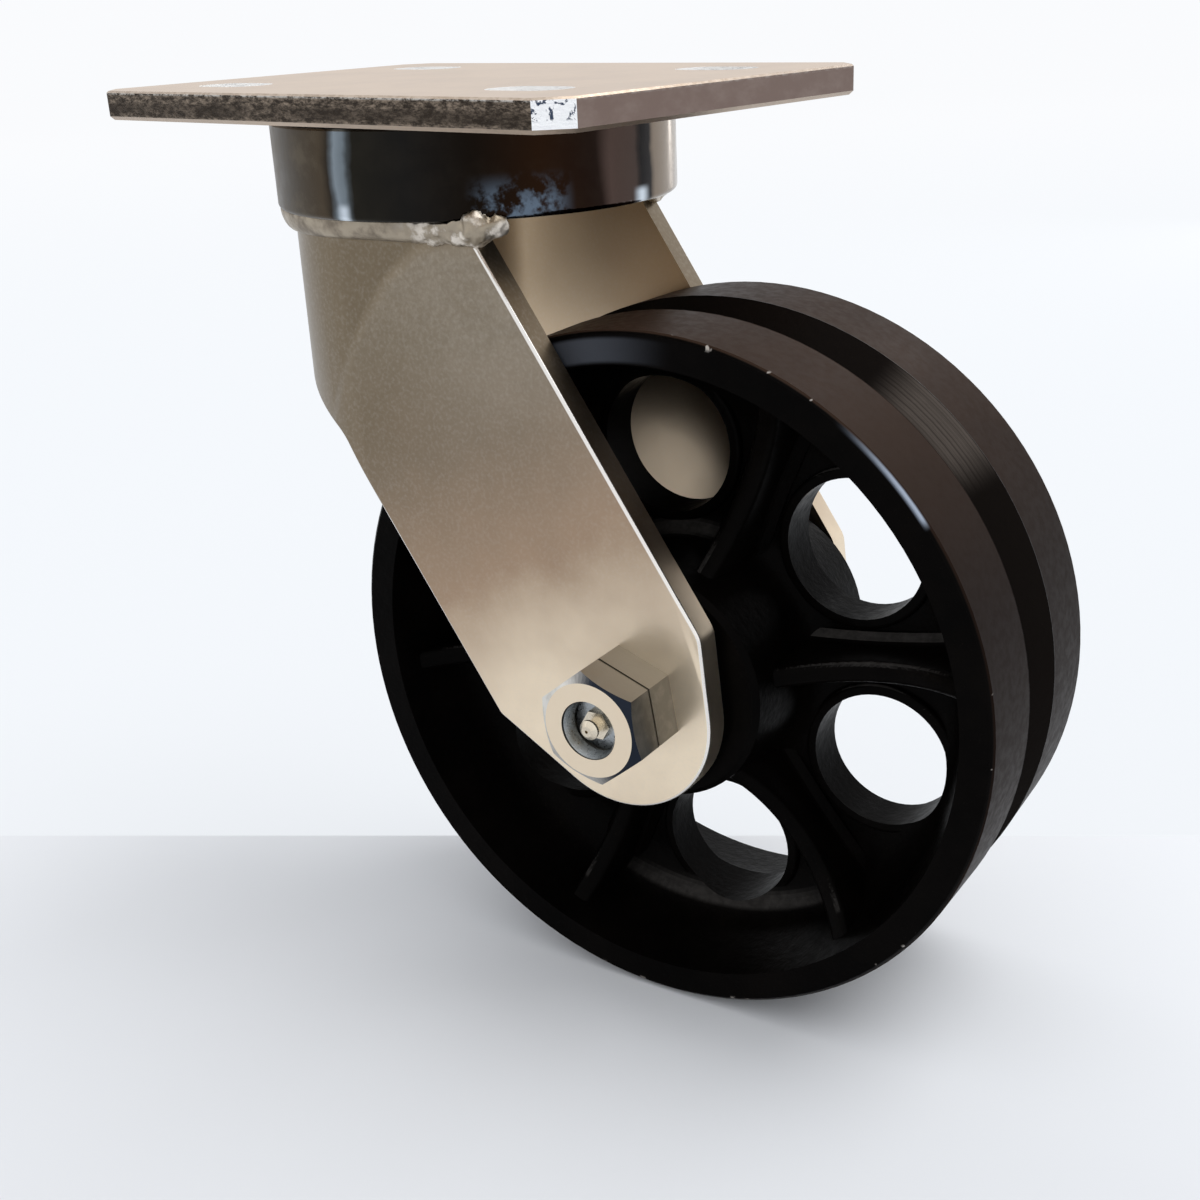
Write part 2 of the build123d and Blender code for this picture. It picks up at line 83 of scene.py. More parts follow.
class Graph:
    """A material's node tree, with short calls for the nodes that the finishes share."""

    def __init__(self, name: str) -> None:
        """Start an empty material.

        Args:
            name: The material's name.
        """
        self.material = bpy.data.materials.new(name)
        self.material.use_nodes = True
        self.tree = self.material.node_tree
        self.tree.nodes.clear()

    def node(self, kind: str, **values: object) -> bpy.types.Node:
        """Add a node and set its properties.

        Args:
            kind: The node's type name.
            **values: Properties of the node.

        Returns:
            The new node.
        """
        made = self.tree.nodes.new(kind)
        for key, value in values.items():
            setattr(made, key, value)
        return made

    def put(self, socket: Socket, value: object) -> None:
        """Link a socket to another, or set its constant.

        Args:
            socket: The input that is fed.
            value: An output socket, or a constant.
        """
        if isinstance(value, bpy.types.NodeSocket):
            self.tree.links.new(value, socket)
        elif isinstance(value, tuple) and len(value) == 3 and socket.type == "RGBA":
            socket.default_value = (*value, 1.0)
        else:
            socket.default_value = value

    def coords(self, place: Place) -> Socket:
        """Object coordinates, centred and turned to a place on the model.

        Args:
            place: The pattern's place.

        Returns:
            The vector output.
        """
        source = self.node("ShaderNodeTexCoord")
        mapping = self.node("ShaderNodeMapping", vector_type="TEXTURE")
        location, turn = place.value
        mapping.inputs["Location"].default_value = location
        mapping.inputs["Rotation"].default_value = tuple(math.radians(angle) for angle in turn)
        self.put(mapping.inputs["Vector"], source.outputs["Object"])
        return mapping.outputs["Vector"]

    def stretch(self, vector: Socket, scale: tuple[float, float, float]) -> Socket:
        """Scale a vector axis by axis.

        Args:
            vector: The vector.
            scale: Its factors.

        Returns:
            The scaled vector.
        """
        made = self.node("ShaderNodeVectorMath", operation="MULTIPLY")
        self.put(made.inputs[0], vector)
        made.inputs[1].default_value = scale
        return made.outputs[0]

    def split(self, vector: Socket) -> tuple[Socket, Socket, Socket]:
        """Split a vector into its x, y and z outputs.

        Args:
            vector: The vector.

        Returns:
            The three outputs.
        """
        made = self.node("ShaderNodeSeparateXYZ")
        self.put(made.inputs[0], vector)
        return made.outputs[0], made.outputs[1], made.outputs[2]

    def join(self, x: object, y: object, z: object) -> Socket:
        """Build a vector from three values.

        Args:
            x: First value or socket.
            y: Second value or socket.
            z: Third value or socket.

        Returns:
            The vector output.
        """
        made = self.node("ShaderNodeCombineXYZ")
        for socket, value in zip(made.inputs, (x, y, z)):
            self.put(socket, value)
        return made.outputs[0]

    def math(self, operation: str, first: object, second: object = 0.0, clamp: bool = False) -> Socket:
        """Add a Math node.

        Args:
            operation: The node's operation.
            first: First value or socket.
            second: Second value or socket.
            clamp: Whether the result is held between 0 and 1.

        Returns:
            The value output.
        """
        made = self.node("ShaderNodeMath", operation=operation, use_clamp=clamp)
        self.put(made.inputs[0], first)
        if len(made.inputs) > 1:
            self.put(made.inputs[1], second)
        return made.outputs[0]

    def times(self, *values: object) -> Socket:
        """Product of several values.

        Args:
            *values: Values or sockets, two or more.

        Returns:
            The product.
        """
        total = values[0]
        for value in values[1:]:
            total = self.math("MULTIPLY", total, value)
        return total

    def window(self, value: Socket, rise: tuple[float, float], fall: tuple[float, float]) -> Socket:
        """One between two ends of a value, with soft borders.

        Args:
            value: The value.
            rise: Where the window opens, from 0 to 1.
            fall: Where it closes, from 1 to 0.

        Returns:
            The share.
        """
        return self.times(self.span(value, *rise), self.span(value, *fall, 1.0, 0.0))

    def at_line(self, value: Socket, line: float, width: float) -> Socket:
        """One on a line of a value, falling to 0 on both sides.

        Args:
            value: The value.
            line: Where the line lies.
            width: Distance at which it has gone.

        Returns:
            The share.
        """
        return self.span(self.math("ABSOLUTE", self.math("SUBTRACT", value, line)), 0.0, width, 1.0, 0.0)

    def radius(self, vector: Socket) -> Socket:
        """Distance from the pattern's Z axis.

        Args:
            vector: Coordinates of the pattern.

        Returns:
            The distance.
        """
        x, y, _ = self.split(vector)
        made = self.node("ShaderNodeVectorMath", operation="LENGTH")
        self.put(made.inputs[0], self.join(x, y, 0.0))
        return made.outputs["Value"]

    def noise(self, vector: Socket, scale: float, detail: float = 4.0, rough: float = 0.55,
              warp: float = 0.0) -> Socket:
        """Noise value between about 0 and 1.

        Args:
            vector: Coordinates.
            scale: Cycles per metre.
            detail: Octaves.
            rough: Share of each octave.
            warp: Distortion.

        Returns:
            The noise factor.
        """
        made = self.node("ShaderNodeTexNoise")
        self.put(made.inputs["Vector"], vector)
        made.inputs["Scale"].default_value = scale
        made.inputs["Detail"].default_value = detail
        made.inputs["Roughness"].default_value = rough
        made.inputs["Distortion"].default_value = warp
        return made.outputs["Fac"]

    def cells(self, vector: Socket, scale: float) -> Socket:
        """Distance to the nearest of many scattered points, for pits and dimples.

        Args:
            vector: Coordinates.
            scale: Points per metre.

        Returns:
            The distance.
        """
        made = self.node("ShaderNodeTexVoronoi", feature="SMOOTH_F1")
        self.put(made.inputs["Vector"], vector)
        made.inputs["Scale"].default_value = scale
        return made.outputs["Distance"]

    def span(self, value: object, low: float, high: float, start: float = 0.0, end: float = 1.0) -> Socket:
        """Map a range of a value smoothly onto another, held at both ends.

        Args:
            value: The value.
            low: Where the range starts.
            high: Where it ends.
            start: Result at its start.
            end: Result at its end.

        Returns:
            The mapped value.
        """
        made = self.node("ShaderNodeMapRange", interpolation_type="SMOOTHSTEP")
        self.put(made.inputs["Value"], value)
        for name, number in (("From Min", low), ("From Max", high), ("To Min", start), ("To Max", end)):
            made.inputs[name].default_value = number
        return made.outputs["Result"]

    def blend(self, share: object, first: object, second: object) -> Socket:
        """Mix two colours.

        Args:
            share: How much of the second, 0 to 1.
            first: First colour or socket.
            second: Second colour or socket.

        Returns:
            The colour output.
        """
        made = self.node("ShaderNodeMix", data_type="RGBA")
        self.put(made.inputs[0], share)
        self.put(made.inputs[6], first)
        self.put(made.inputs[7], second)
        return made.outputs[2]

    def bands(self, value: Socket, stops: tuple[tuple[float, Color], ...]) -> Socket:
        """Colour ramp.

        Args:
            value: Position on the ramp, 0 to 1.
            stops: Positions and their colours.

        Returns:
            The colour output.
        """
        made = self.node("ShaderNodeValToRGB")
        ramp = made.color_ramp
        ramp.elements[0].position, ramp.elements[0].color = stops[0][0], (*stops[0][1], 1.0)
        ramp.elements[1].position, ramp.elements[1].color = stops[-1][0], (*stops[-1][1], 1.0)
        for position, color in stops[1:-1]:
            ramp.elements.new(position).color = (*color, 1.0)
        self.put(made.inputs[0], value)
        return made.outputs[0]

    def bump(self, height: Socket, strength: float, depth: float, under: Socket | None = None) -> Socket:
        """Bump from a height.

        Args:
            height: Height, 0 to 1.
            strength: Strength of the effect.
            depth: Real depth in metres.
            under: Normal of the layer below.

        Returns:
            The normal output.
        """
        made = self.node("ShaderNodeBump")
        made.inputs["Strength"].default_value = strength
        made.inputs["Distance"].default_value = depth
        self.put(made.inputs["Height"], height)
        if under is not None:
            self.put(made.inputs["Normal"], under)
        return made.outputs["Normal"]

    def own_normal(self) -> Socket:
        """The surface's own normal in its piece's frame, so that it turns with the piece."""
        made = self.node("ShaderNodeVectorTransform", vector_type="NORMAL", convert_from="WORLD",
                         convert_to="OBJECT")
        self.put(made.inputs[0], self.node("ShaderNodeNewGeometry").outputs["True Normal"])
        return made.outputs[0]

    def toward(self, place: Place, way: tuple[float, float, float]) -> Socket:
        """How far the surface's own normal points along a direction of a place.

        Args:
            place: The place whose turn is used.
            way: Direction in that place's frame.

        Returns:
            The cosine, -1 to 1.
        """
        turn = Euler([math.radians(angle) for angle in place.value[1]])
        made = self.node("ShaderNodeVectorMath", operation="DOT_PRODUCT")
        self.put(made.inputs[0], self.own_normal())
        made.inputs[1].default_value = turn.to_matrix() @ Vector(way)
        return made.outputs["Value"]

    def shade(self, color: object, metallic: float, roughness: object, normal: Socket,
              specular: float = 0.5) -> bpy.types.Material:
        """Close the tree with a Principled shader.

        Args:
            color: Base colour.
            metallic: Metallic constant.
            roughness: Roughness.
            normal: The bump's normal.
            specular: Specular level.

        Returns:
            The finished material.
        """
        shader = self.node("ShaderNodeBsdfPrincipled")
        self.put(shader.inputs["Base Color"], color)
        shader.inputs["Metallic"].default_value = metallic
        shader.inputs["Specular IOR Level"].default_value = specular
        self.put(shader.inputs["Roughness"], roughness)
        self.put(shader.inputs["Normal"], normal)
        out = self.node("ShaderNodeOutputMaterial")
        self.put(out.inputs["Surface"], shader.outputs[0])
        return self.material


@dataclass(frozen=True)
class LegZinc:
    """Warm zinc plate on the formed legs: painted shade and highlight from a dark top to a pale bottom, soft
    clouds, paler specks and clouds on the pad, a painted highlight on the rounded front edges and press
    dimples near the bend.
    """

    edge_highlight: Color = (0.93, 0.91, 0.88)
    pad_pale_specks: Color = (0.60, 0.54, 0.45)
    pad_pale_cloud: Color = (0.66, 0.60, 0.51)
    speck: Color = (0.66, 0.62, 0.56)
    roughness: float = 0.32
    pad_top: tuple[float, float] = (0.0185, -0.0282)
    pad_curve: float = 28.0

    def pad(self, g: Graph, x: Socket, z: Socket) -> Socket:
        """Depth below the curved upper border of the pad.

        Args:
            g: The tree.
            x: Distance along the trail.
            z: Height.

        Returns:
            Depth in metres.
        """
        ahead = g.math("SUBTRACT", x, self.pad_top[0])
        fall = g.times(ahead, ahead, self.pad_curve)
        return g.math("SUBTRACT", g.math("SUBTRACT", self.pad_top[1], fall), z)

    def build(self) -> bpy.types.Material:
        """Make the material."""
        g = Graph("leg_zinc_plate")
        at = g.coords(Place.FORK)
        x, y, z = g.split(at)
        # Painted shade and highlight: the colour runs from dark brown-grey at the top of the legs to pale at
        # the bottom, with clouds shifting it a little.
        fall = g.math("SUBTRACT", g.times(x, 0.45), z)
        cloud = g.noise(at, 26.0, 4.0, 0.6)
        fine = g.noise(at, 1300.0, 2.0, 0.5)
        level = g.math("ADD", g.span(fall, 0.045, 0.155), g.span(cloud, 0.3, 0.75, -0.07, 0.07), True)
        color = g.bands(level, (
            (0.00, (0.185, 0.145, 0.096)), (0.20, (0.230, 0.178, 0.124)), (0.60, (0.380, 0.270, 0.185)),
            (1.00, (0.930, 0.790, 0.600)),
        ))
        across = g.toward(Place.FORK, (0.0, 1.0, 0.0))
        outward = g.times(g.math("SIGN", y), across)
        outside = g.span(outward, 0.2, 0.8)
        # Painted shade and highlight on the inner faces: darker at the top, lighter lower down.
        inside = g.bands(g.span(fall, 0.030, 0.115), (
            (0.0, (0.56, 0.44, 0.30)), (0.45, (0.64, 0.50, 0.35)), (1.0, (0.72, 0.58, 0.42)),
        ))
        color = g.blend(g.span(outward, -0.8, -0.2, 1.0, 0.0), color, inside)
        pad = g.times(outside, g.span(self.pad(g, x, z), -0.0020, 0.0035))
        upper = g.times(pad, g.span(z, -0.072, -0.034))
        # Paler specks on the upper part of the pad.
        pad_specks = g.times(upper, g.span(g.noise(at, 620.0, 5.0, 0.7), 0.38, 0.72, 0.12, 0.24))
        color = g.blend(pad_specks, color, self.pad_pale_specks)
        # Paler clouds on the pad, stronger towards the front and towards the top.
        pad_front_cloud = g.times(pad, g.span(x, -0.004, 0.022), g.span(z, -0.095, -0.040))
        color = g.blend(g.times(pad_front_cloud, g.span(cloud, 0.3, 0.7, 0.03, 0.14)), color, self.pad_pale_cloud)
        color = g.blend(g.span(fine, 0.4, 0.8, 0.0, 0.10), color, self.speck)
        side = g.math("ABSOLUTE", across)
        # Painted highlight: the rounded front edges are painted near white.
        rounded = g.times(g.window(side, (0.10, 0.30), (0.93, 0.985)), g.span(x, -0.008, -0.004))
        color = g.blend(g.times(rounded, 0.85), color, self.edge_highlight)
        normal = g.bump(pad, 0.45, 0.0006)
        normal = g.bump(g.times(g.cells(at, 300.0), upper), 0.35, 0.0005, normal)
        normal = g.bump(g.noise(at, 160.0, 3.0), 0.12, 0.0004, normal)
        normal = g.bump(fine, 0.06, 0.00006, normal)
        rough = g.math("ADD", g.span(cloud, 0.25, 0.8, self.roughness - 0.05, self.roughness + 0.08),
                       g.times(rounded, -0.10))
        return g.shade(color, 1.0, rough, normal)


@dataclass(frozen=True)
class WeldZinc:
    """Dull zinc over hand welding, with faint lines along the bead."""

    pale: Color = (0.38, 0.325, 0.250)
    dull: Color = (0.200, 0.165, 0.125)
    lump: Color = (0.74, 0.68, 0.60)

    def build(self) -> bpy.types.Material:
        """Make the material."""
        g = Graph("weld_bead_zinc")
        at = g.coords(Place.FORK)
        x, _, z = g.split(at)
        cloud = g.noise(at, 260.0, 4.0, 0.6)
        lines = g.noise(g.join(g.times(x, 0.15), 0.0, z), 900.0, 3.0)
        ahead = g.span(x, 0.004, 0.016)
        color = g.blend(g.span(cloud, 0.35, 0.7), self.pale, self.dull)
        color = g.blend(g.times(ahead, g.span(cloud, 0.45, 0.6)), color, self.lump)
        normal = g.bump(lines, 0.25, 0.0002)
        normal = g.bump(g.noise(at, 800.0, 4.0), 0.20, 0.0003, normal)
        return g.shade(color, 1.0, g.span(cloud, 0.3, 0.7, 0.36, 0.48), normal)


@dataclass(frozen=True)
class TurnedZinc:
    """Bright plate over a turned ring, with faint tool lines, painted reflections in bluish and brown bands
    round it, and painted glints and a painted bluish reflection low on it.
    """

    left_mottle: Color = (0.135, 0.110, 0.075)
    foot_glint: Color = (0.62, 0.68, 0.74)
    blue_reflection: Color = (0.13, 0.17, 0.22)
    roughness: float = 0.15

    def build(self) -> bpy.types.Material:
        """Make the material."""
        g = Graph("ring_bright_plate")
        at = g.coords(Place.FORK)
        x, y, z = g.split(at)
        turn = g.math("ARCTAN2", y, x)
        share = g.math("ADD", g.math("DIVIDE", turn, 2 * math.pi), 0.5)
        wave = g.math("ADD", share, g.span(g.noise(at, 60.0), 0.3, 0.7, -0.003, 0.003))
        # Painted reflections: dark, brown, bluish and near-white bands by angle round the ring.
        color = g.bands(wave, (
            (0.000, (0.10, 0.080, 0.060)), (0.100, (0.066, 0.048, 0.028)), (0.170, (0.038, 0.027, 0.015)),
            (0.228, (0.060, 0.044, 0.028)), (0.237, (0.020, 0.017, 0.014)), (0.241, (0.24, 0.28, 0.31)),
            (0.251, (0.17, 0.20, 0.22)), (0.255, (0.020, 0.018, 0.014)), (0.300, (0.014, 0.013, 0.012)),
            (0.350, (0.010, 0.007, 0.005)), (0.400, (0.022, 0.010, 0.005)), (0.445, (0.014, 0.008, 0.006)),
            (0.456, (0.070, 0.046, 0.038)), (0.480, (0.060, 0.040, 0.033)), (0.486, (0.006, 0.005, 0.005)),
            (0.500, (0.008, 0.006, 0.006)), (0.506, (0.20, 0.155, 0.115)), (0.570, (0.26, 0.205, 0.150)),
            (0.640, (0.10, 0.080, 0.060)), (1.000, (0.10, 0.080, 0.060)),
        ))
        lines = g.noise(g.join(0.0, 0.0, z), 2600.0, 2.0)
        cloud = g.noise(at, 150.0, 5.0, 0.65)
        # Browner mottling, mostly on the left of the ring.
        left = g.window(share, (0.06, 0.10), (0.205, 0.232))
        left_mottle = g.times(g.span(cloud, 0.42, 0.66), g.math("ADD", g.times(left, 0.42), 0.02))
        color = g.blend(left_mottle, color, self.left_mottle)
        # Painted glints: two thin near-white lines low on the ring.
        glints = g.math("ADD", g.at_line(share, 0.246, 0.008), g.at_line(share, 0.490, 0.012), True)
        color = g.blend(g.times(g.span(z, -0.0205, -0.0222), glints), color, self.foot_glint)
        # Painted reflection: a bluish area low on the ring, broken by clouds.
        low = g.span(z, -0.0225, -0.0150, 1.0, 0.0)
        blue_reflection = g.times(g.window(share, (0.340, 0.365), (0.400, 0.425)), low, g.span(cloud, 0.44, 0.58))
        color = g.blend(blue_reflection, color, self.blue_reflection)
        normal = g.bump(lines, 0.10, 0.00006)
        normal = g.bump(g.noise(at, 420.0, 3.0), 0.10, 0.0002, normal)
        rough = g.math("ADD", g.span(cloud, 0.3, 0.75, self.roughness - 0.03, self.roughness + 0.10),
                       g.times(left, 0.20))
        return g.shade(color, 1.0, rough, normal)


@dataclass(frozen=True)
class PlateZinc:
    """Dull plate on the top plate: rolled faces, rough and smooth sheared sides, painted highlights on the
    clipped corners and the slot walls.
    """

    face: Color = (0.610, 0.487, 0.380)
    face_cloud: Color = (0.46, 0.37, 0.30)
    face_speck: Color = (0.68, 0.60, 0.51)
    side_dark: Color = (0.036, 0.027, 0.020)
    side_light: Color = (0.300, 0.240, 0.185)
    side_core: Color = (0.034, 0.025, 0.018)
    side_foot: Color = (0.40, 0.35, 0.29)
    side_notch: Color = (0.66, 0.64, 0.60)
    smooth_side: Color = (0.190, 0.138, 0.118)
    smooth_light: Color = (0.25, 0.195, 0.17)
    slot_glint: Color = (1.0, 0.99, 0.97)
    bright: Color = (0.98, 0.99, 1.00)
    blue: Color = (0.055, 0.075, 0.120)

    def build(self) -> bpy.types.Material:
        """Make the material."""
        g = Graph("plate_dull_zinc")
        at = g.coords(Place.PLATE)
        x, y, z = g.split(at)
        ends, sides, up = (g.math("ABSOLUTE", part) for part in g.split(g.own_normal()))
        side = g.span(up, 0.25, 0.9, 1.0, 0.0)
        smooth = g.span(ends, 0.60, 0.95)
        cloud = g.noise(at, 45.0, 5.0, 0.65)
        fine = g.noise(at, 900.0, 4.0, 0.6)
        face = g.blend(g.span(cloud, 0.35, 0.7, 0.0, 0.35), self.face, self.face_cloud)
        face = g.blend(g.span(fine, 0.45, 0.8, 0.0, 0.22), face, self.face_speck)
        grain = g.noise(g.stretch(at, (0.35, 0.35, 1.0)), 1500.0, 6.0, 0.75)
        torn = g.blend(g.span(grain, 0.40, 0.68), self.side_dark, self.side_light)
        core = g.window(z, (-0.0050, -0.0042), (-0.0030, -0.0018))
        torn = g.blend(g.times(core, g.span(cloud, 0.3, 0.6, 0.25, 0.75)), torn, self.side_core)
        drawn = g.noise(g.join(g.times(x, 0.5), g.times(y, 0.5), z), 300.0, 4.0, 0.6)
        sheared = g.blend(g.span(drawn, 0.40, 0.75, 0.0, 0.6), self.smooth_side, self.smooth_light)
        skin = g.blend(smooth, torn, sheared)
        low = g.times(g.span(z, -0.0061, -0.0048, 1.0, 0.0), g.span(smooth, 0.0, 1.0, 0.75, 0.2))
        skin = g.blend(g.times(low, g.span(cloud, 0.3, 0.6, 0.4, 0.9)), skin, self.side_foot)
        notches = g.times(g.span(z, -0.0009, -0.0004), g.span(grain, 0.44, 0.58))
        notches = g.times(notches, g.span(smooth, 0.0, 1.0, 0.9, 0.25))
        skin = g.blend(notches, skin, self.side_notch)
        # Painted highlight: the clipped corners are painted near white, with dark blue blots.
        clip = g.times(g.span(ends, 0.45, 0.60), g.span(sides, 0.45, 0.60))
        blots = g.noise(at, 420.0, 4.0, 0.7, 0.6)
        blot = g.times(g.span(blots, 0.54, 0.59), g.span(z, -0.0040, -0.0034))
        skin = g.blend(clip, skin, g.blend(blot, self.bright, self.blue))
        # Painted highlight: the slot walls are painted near white so they show as glints.
        inner_x = g.span(g.math("ABSOLUTE", x), 0.0595, 0.0590)
        inner_y = g.span(g.math("ABSOLUTE", y), 0.0400, 0.0395)
        skin = g.blend(g.times(inner_x, inner_y), skin, self.slot_glint)
        color = g.blend(side, face, skin)
        rough = g.math("ADD", 0.42, g.times(g.math("SUBTRACT", side, smooth), 0.14))
        normal = g.bump(g.times(grain, side, g.math("SUBTRACT", 1.0, smooth)), 0.8, 0.0005)
        normal = g.bump(g.times(drawn, side), 0.12, 0.0003, normal)
        normal = g.bump(fine, 0.10, 0.0001, normal)
        return g.shade(color, 1.0, rough, normal)


@dataclass(frozen=True)
class WheelBlack:
    """Black paint over cast iron, with the bare turned lands of the tread, small chips at the rim, and
    painted highlights on the lands, the groove flank, the ribs and the rim.
    """

    paint: Color = (0.0012, 0.0010, 0.0009)
    dusty: Color = (0.0028, 0.0022, 0.0019)
    land: Color = (0.0100, 0.0056, 0.0040)
    land_lit: Color = (0.0360, 0.0215, 0.0150)
    flank: Color = (0.0060, 0.0044, 0.0036)
    flank_glint: Color = (0.095, 0.080, 0.070)
    gleam: Color = (0.045, 0.042, 0.040)
    sheen: Color = (0.055, 0.060, 0.072)
    blue: Color = (0.50, 0.58, 0.72)
    bare: Color = (0.42, 0.39, 0.36)
    specular: float = 0.022

    def build(self) -> bpy.types.Material:
        """Make the material."""
        g = Graph("wheel_black_iron")
        at = g.coords(Place.WHEEL)
        x, y, z = g.split(at)
        radius = g.radius(at)
        turn = g.math("ARCTAN2", y, x)
        across = g.math("ABSOLUTE", z)
        cast = g.noise(at, 520.0, 5.0, 0.6)
        cloud = g.noise(at, 60.0, 4.0, 0.6)
        lines = g.noise(g.join(0.0, 0.0, z), 3200.0, 2.0)
        tread = g.span(radius, 0.0675, 0.0680)
        outside = g.times(g.span(radius, 0.0754, 0.0757), g.span(across, 0.0079, 0.0083))
        flank = g.times(tread, g.span(across, 0.0081, 0.0078))
        color = g.blend(g.span(cloud, 0.3, 0.75), self.paint, self.dusty)
        # Painted highlight: the lands are lighter over part of the way round the wheel.
        lit = g.times(g.span(turn, 0.25, 1.15), g.span(cloud, 0.3, 0.7, 0.8, 1.0))
        color = g.blend(outside, color, g.blend(lit, self.land, self.land_lit))
        # Painted highlight: a glint band on the groove flank, streaked by turning lines.
        glint = g.times(g.window(turn, (0.60, 0.76), (0.90, 1.06)), g.span(lines, 0.35, 0.60, 0.45, 1.0))
        color = g.blend(flank, color, g.blend(glint, self.flank, self.flank_glint))
        # Painted highlight: a faint gleam on rib faces that point one fixed way in the wheel's frame.
        gleam_facing = g.span(g.toward(Place.WHEEL, (-0.10, 0.72, 0.69)), 0.93, 0.990)
        gleam = g.times(gleam_facing, g.span(radius, 0.0640, 0.0630), g.span(cast, 0.3, 0.7, 0.5, 0.9))
        color = g.blend(gleam, color, self.gleam)
        rim = g.times(g.at_line(across, WHEEL_HALF_WIDTH - 0.0004, 0.0009), g.span(radius, 0.0745, 0.0752))
        # Painted highlight: a bluish-white line along part of the near rim.
        rim_highlight = g.times(rim, g.window(turn, (0.62, 0.66), (0.72, 0.98)), g.span(z, 0.0270, 0.0274))
        color = g.blend(g.times(rim_highlight, 0.7), color, self.blue)
        # Painted highlight: a bluish sheen on part of the rim's front face.
        front = g.times(g.window(radius, (0.0690, 0.0700), (0.0738, 0.0748)), g.span(z, 0.0268, 0.0276))
        color = g.blend(g.times(front, g.window(turn, (1.45, 1.74), (1.74, 2.05))), color, self.sheen)
        chip = g.times(rim, g.span(g.noise(at, 330.0, 2.0), 0.66, 0.70))
        color = g.blend(chip, color, self.bare)
        normal = g.bump(g.times(cast, g.math("SUBTRACT", 1.0, outside)), 0.30, 0.0005)
        normal = g.bump(g.times(lines, outside), 0.12, 0.00006, normal)
        rough = g.math("ADD", g.span(cast, 0.3, 0.7, 0.28, 0.40), g.times(outside, 0.06))
        return g.shade(color, 0.0, rough, normal, self.specular)


@dataclass(frozen=True)
class Hardware:
    """Zinc on bolts, nuts, fittings and bearing parts."""

    name: str
    base: Color
    other: Color
    roughness: float
    place: Place = Place.WHEEL
    grain: float = 500.0
    depth: float = 0.0002

    def build(self) -> bpy.types.Material:
        """Make the material."""
        g = Graph(self.name)
        at = g.coords(self.place)
        cloud = g.noise(at, 160.0, 4.0, 0.6)
        fine = g.noise(at, self.grain * 3, 3.0)
        lines = g.noise(g.join(g.radius(at), 0.0, 0.0), 2400.0, 2.0)
        color = g.blend(g.span(cloud, 0.3, 0.75), self.base, self.other)
        normal = g.bump(lines, 0.12, 0.00005)
        normal = g.bump(g.noise(at, self.grain, 4.0), 0.3, self.depth, normal)
        rough = g.span(fine, 0.3, 0.75, self.roughness - 0.05, self.roughness + 0.10)
        return g.shade(color, 1.0, rough, normal)


@dataclass(frozen=True)
class NutZinc:
    """Zinc on the two nuts: pale turned face, painted shade on the flats and chamfers of one side, a painted
    shadow in the thin joint between them.
    """

    face: Color = (0.84, 0.71, 0.54)
    light: Color = (0.66, 0.64, 0.60)
    grey: Color = (0.200, 0.190, 0.170)
    speck: Color = (0.36, 0.34, 0.30)
    chamfer_shade: Color = (0.020, 0.025, 0.036)
    joint_shadow: Color = (0.02, 0.018, 0.016)
    joint: float = 0.04314

    def build(self) -> bpy.types.Material:
        """Make the material."""
        g = Graph("nut_zinc")
        at = g.coords(Place.WHEEL)
        _, _, z = g.split(at)
        out = g.toward(Place.WHEEL, (0.0, 0.0, 1.0))
        right = g.toward(Place.WHEEL, (0.97, 0.24, 0.0))
        cloud = g.noise(at, 320.0, 4.0, 0.6)
        # Painted shade: the flats facing one side are grey, the others light.
        color = g.blend(g.span(right, 0.0, 0.9), self.light, self.grey)
        color = g.blend(g.span(cloud, 0.4, 0.7, 0.0, 0.45), color, self.speck)
        # Painted shade: the chamfers on that side are dark.
        crown = g.times(g.window(out, (0.25, 0.45), (0.90, 0.96)), g.span(right, -0.2, 0.2))
        color = g.blend(crown, color, self.chamfer_shade)
        color = g.blend(g.span(out, 0.93, 0.98), color, self.face)
        # Painted shadow: a thin dark line in the joint between the nuts.
        color = g.blend(g.at_line(z, self.joint, 0.0005), color, self.joint_shadow)
        normal = g.bump(g.noise(at, 500.0, 4.0), 0.25, 0.0002)
        return g.shade(color, 1.0, g.span(cloud, 0.3, 0.7, 0.28, 0.42), normal)


@dataclass(frozen=True)
class SealRubber:
    """Matt black rubber of the dust seal."""

    color: Color = (0.012, 0.012, 0.012)
    dust: Color = (0.03, 0.03, 0.03)

    def build(self) -> bpy.types.Material:
        """Make the material."""
        g = Graph("seal_rubber")
        at = g.coords(Place.FORK)
        speck = g.noise(at, 900.0, 3.0)
        color = g.blend(g.span(speck, 0.4, 0.7, 0.0, 0.6), self.color, self.dust)
        return g.shade(color, 0.0, g.span(speck, 0.3, 0.7, 0.6, 0.8), g.bump(speck, 0.2, 0.0001))


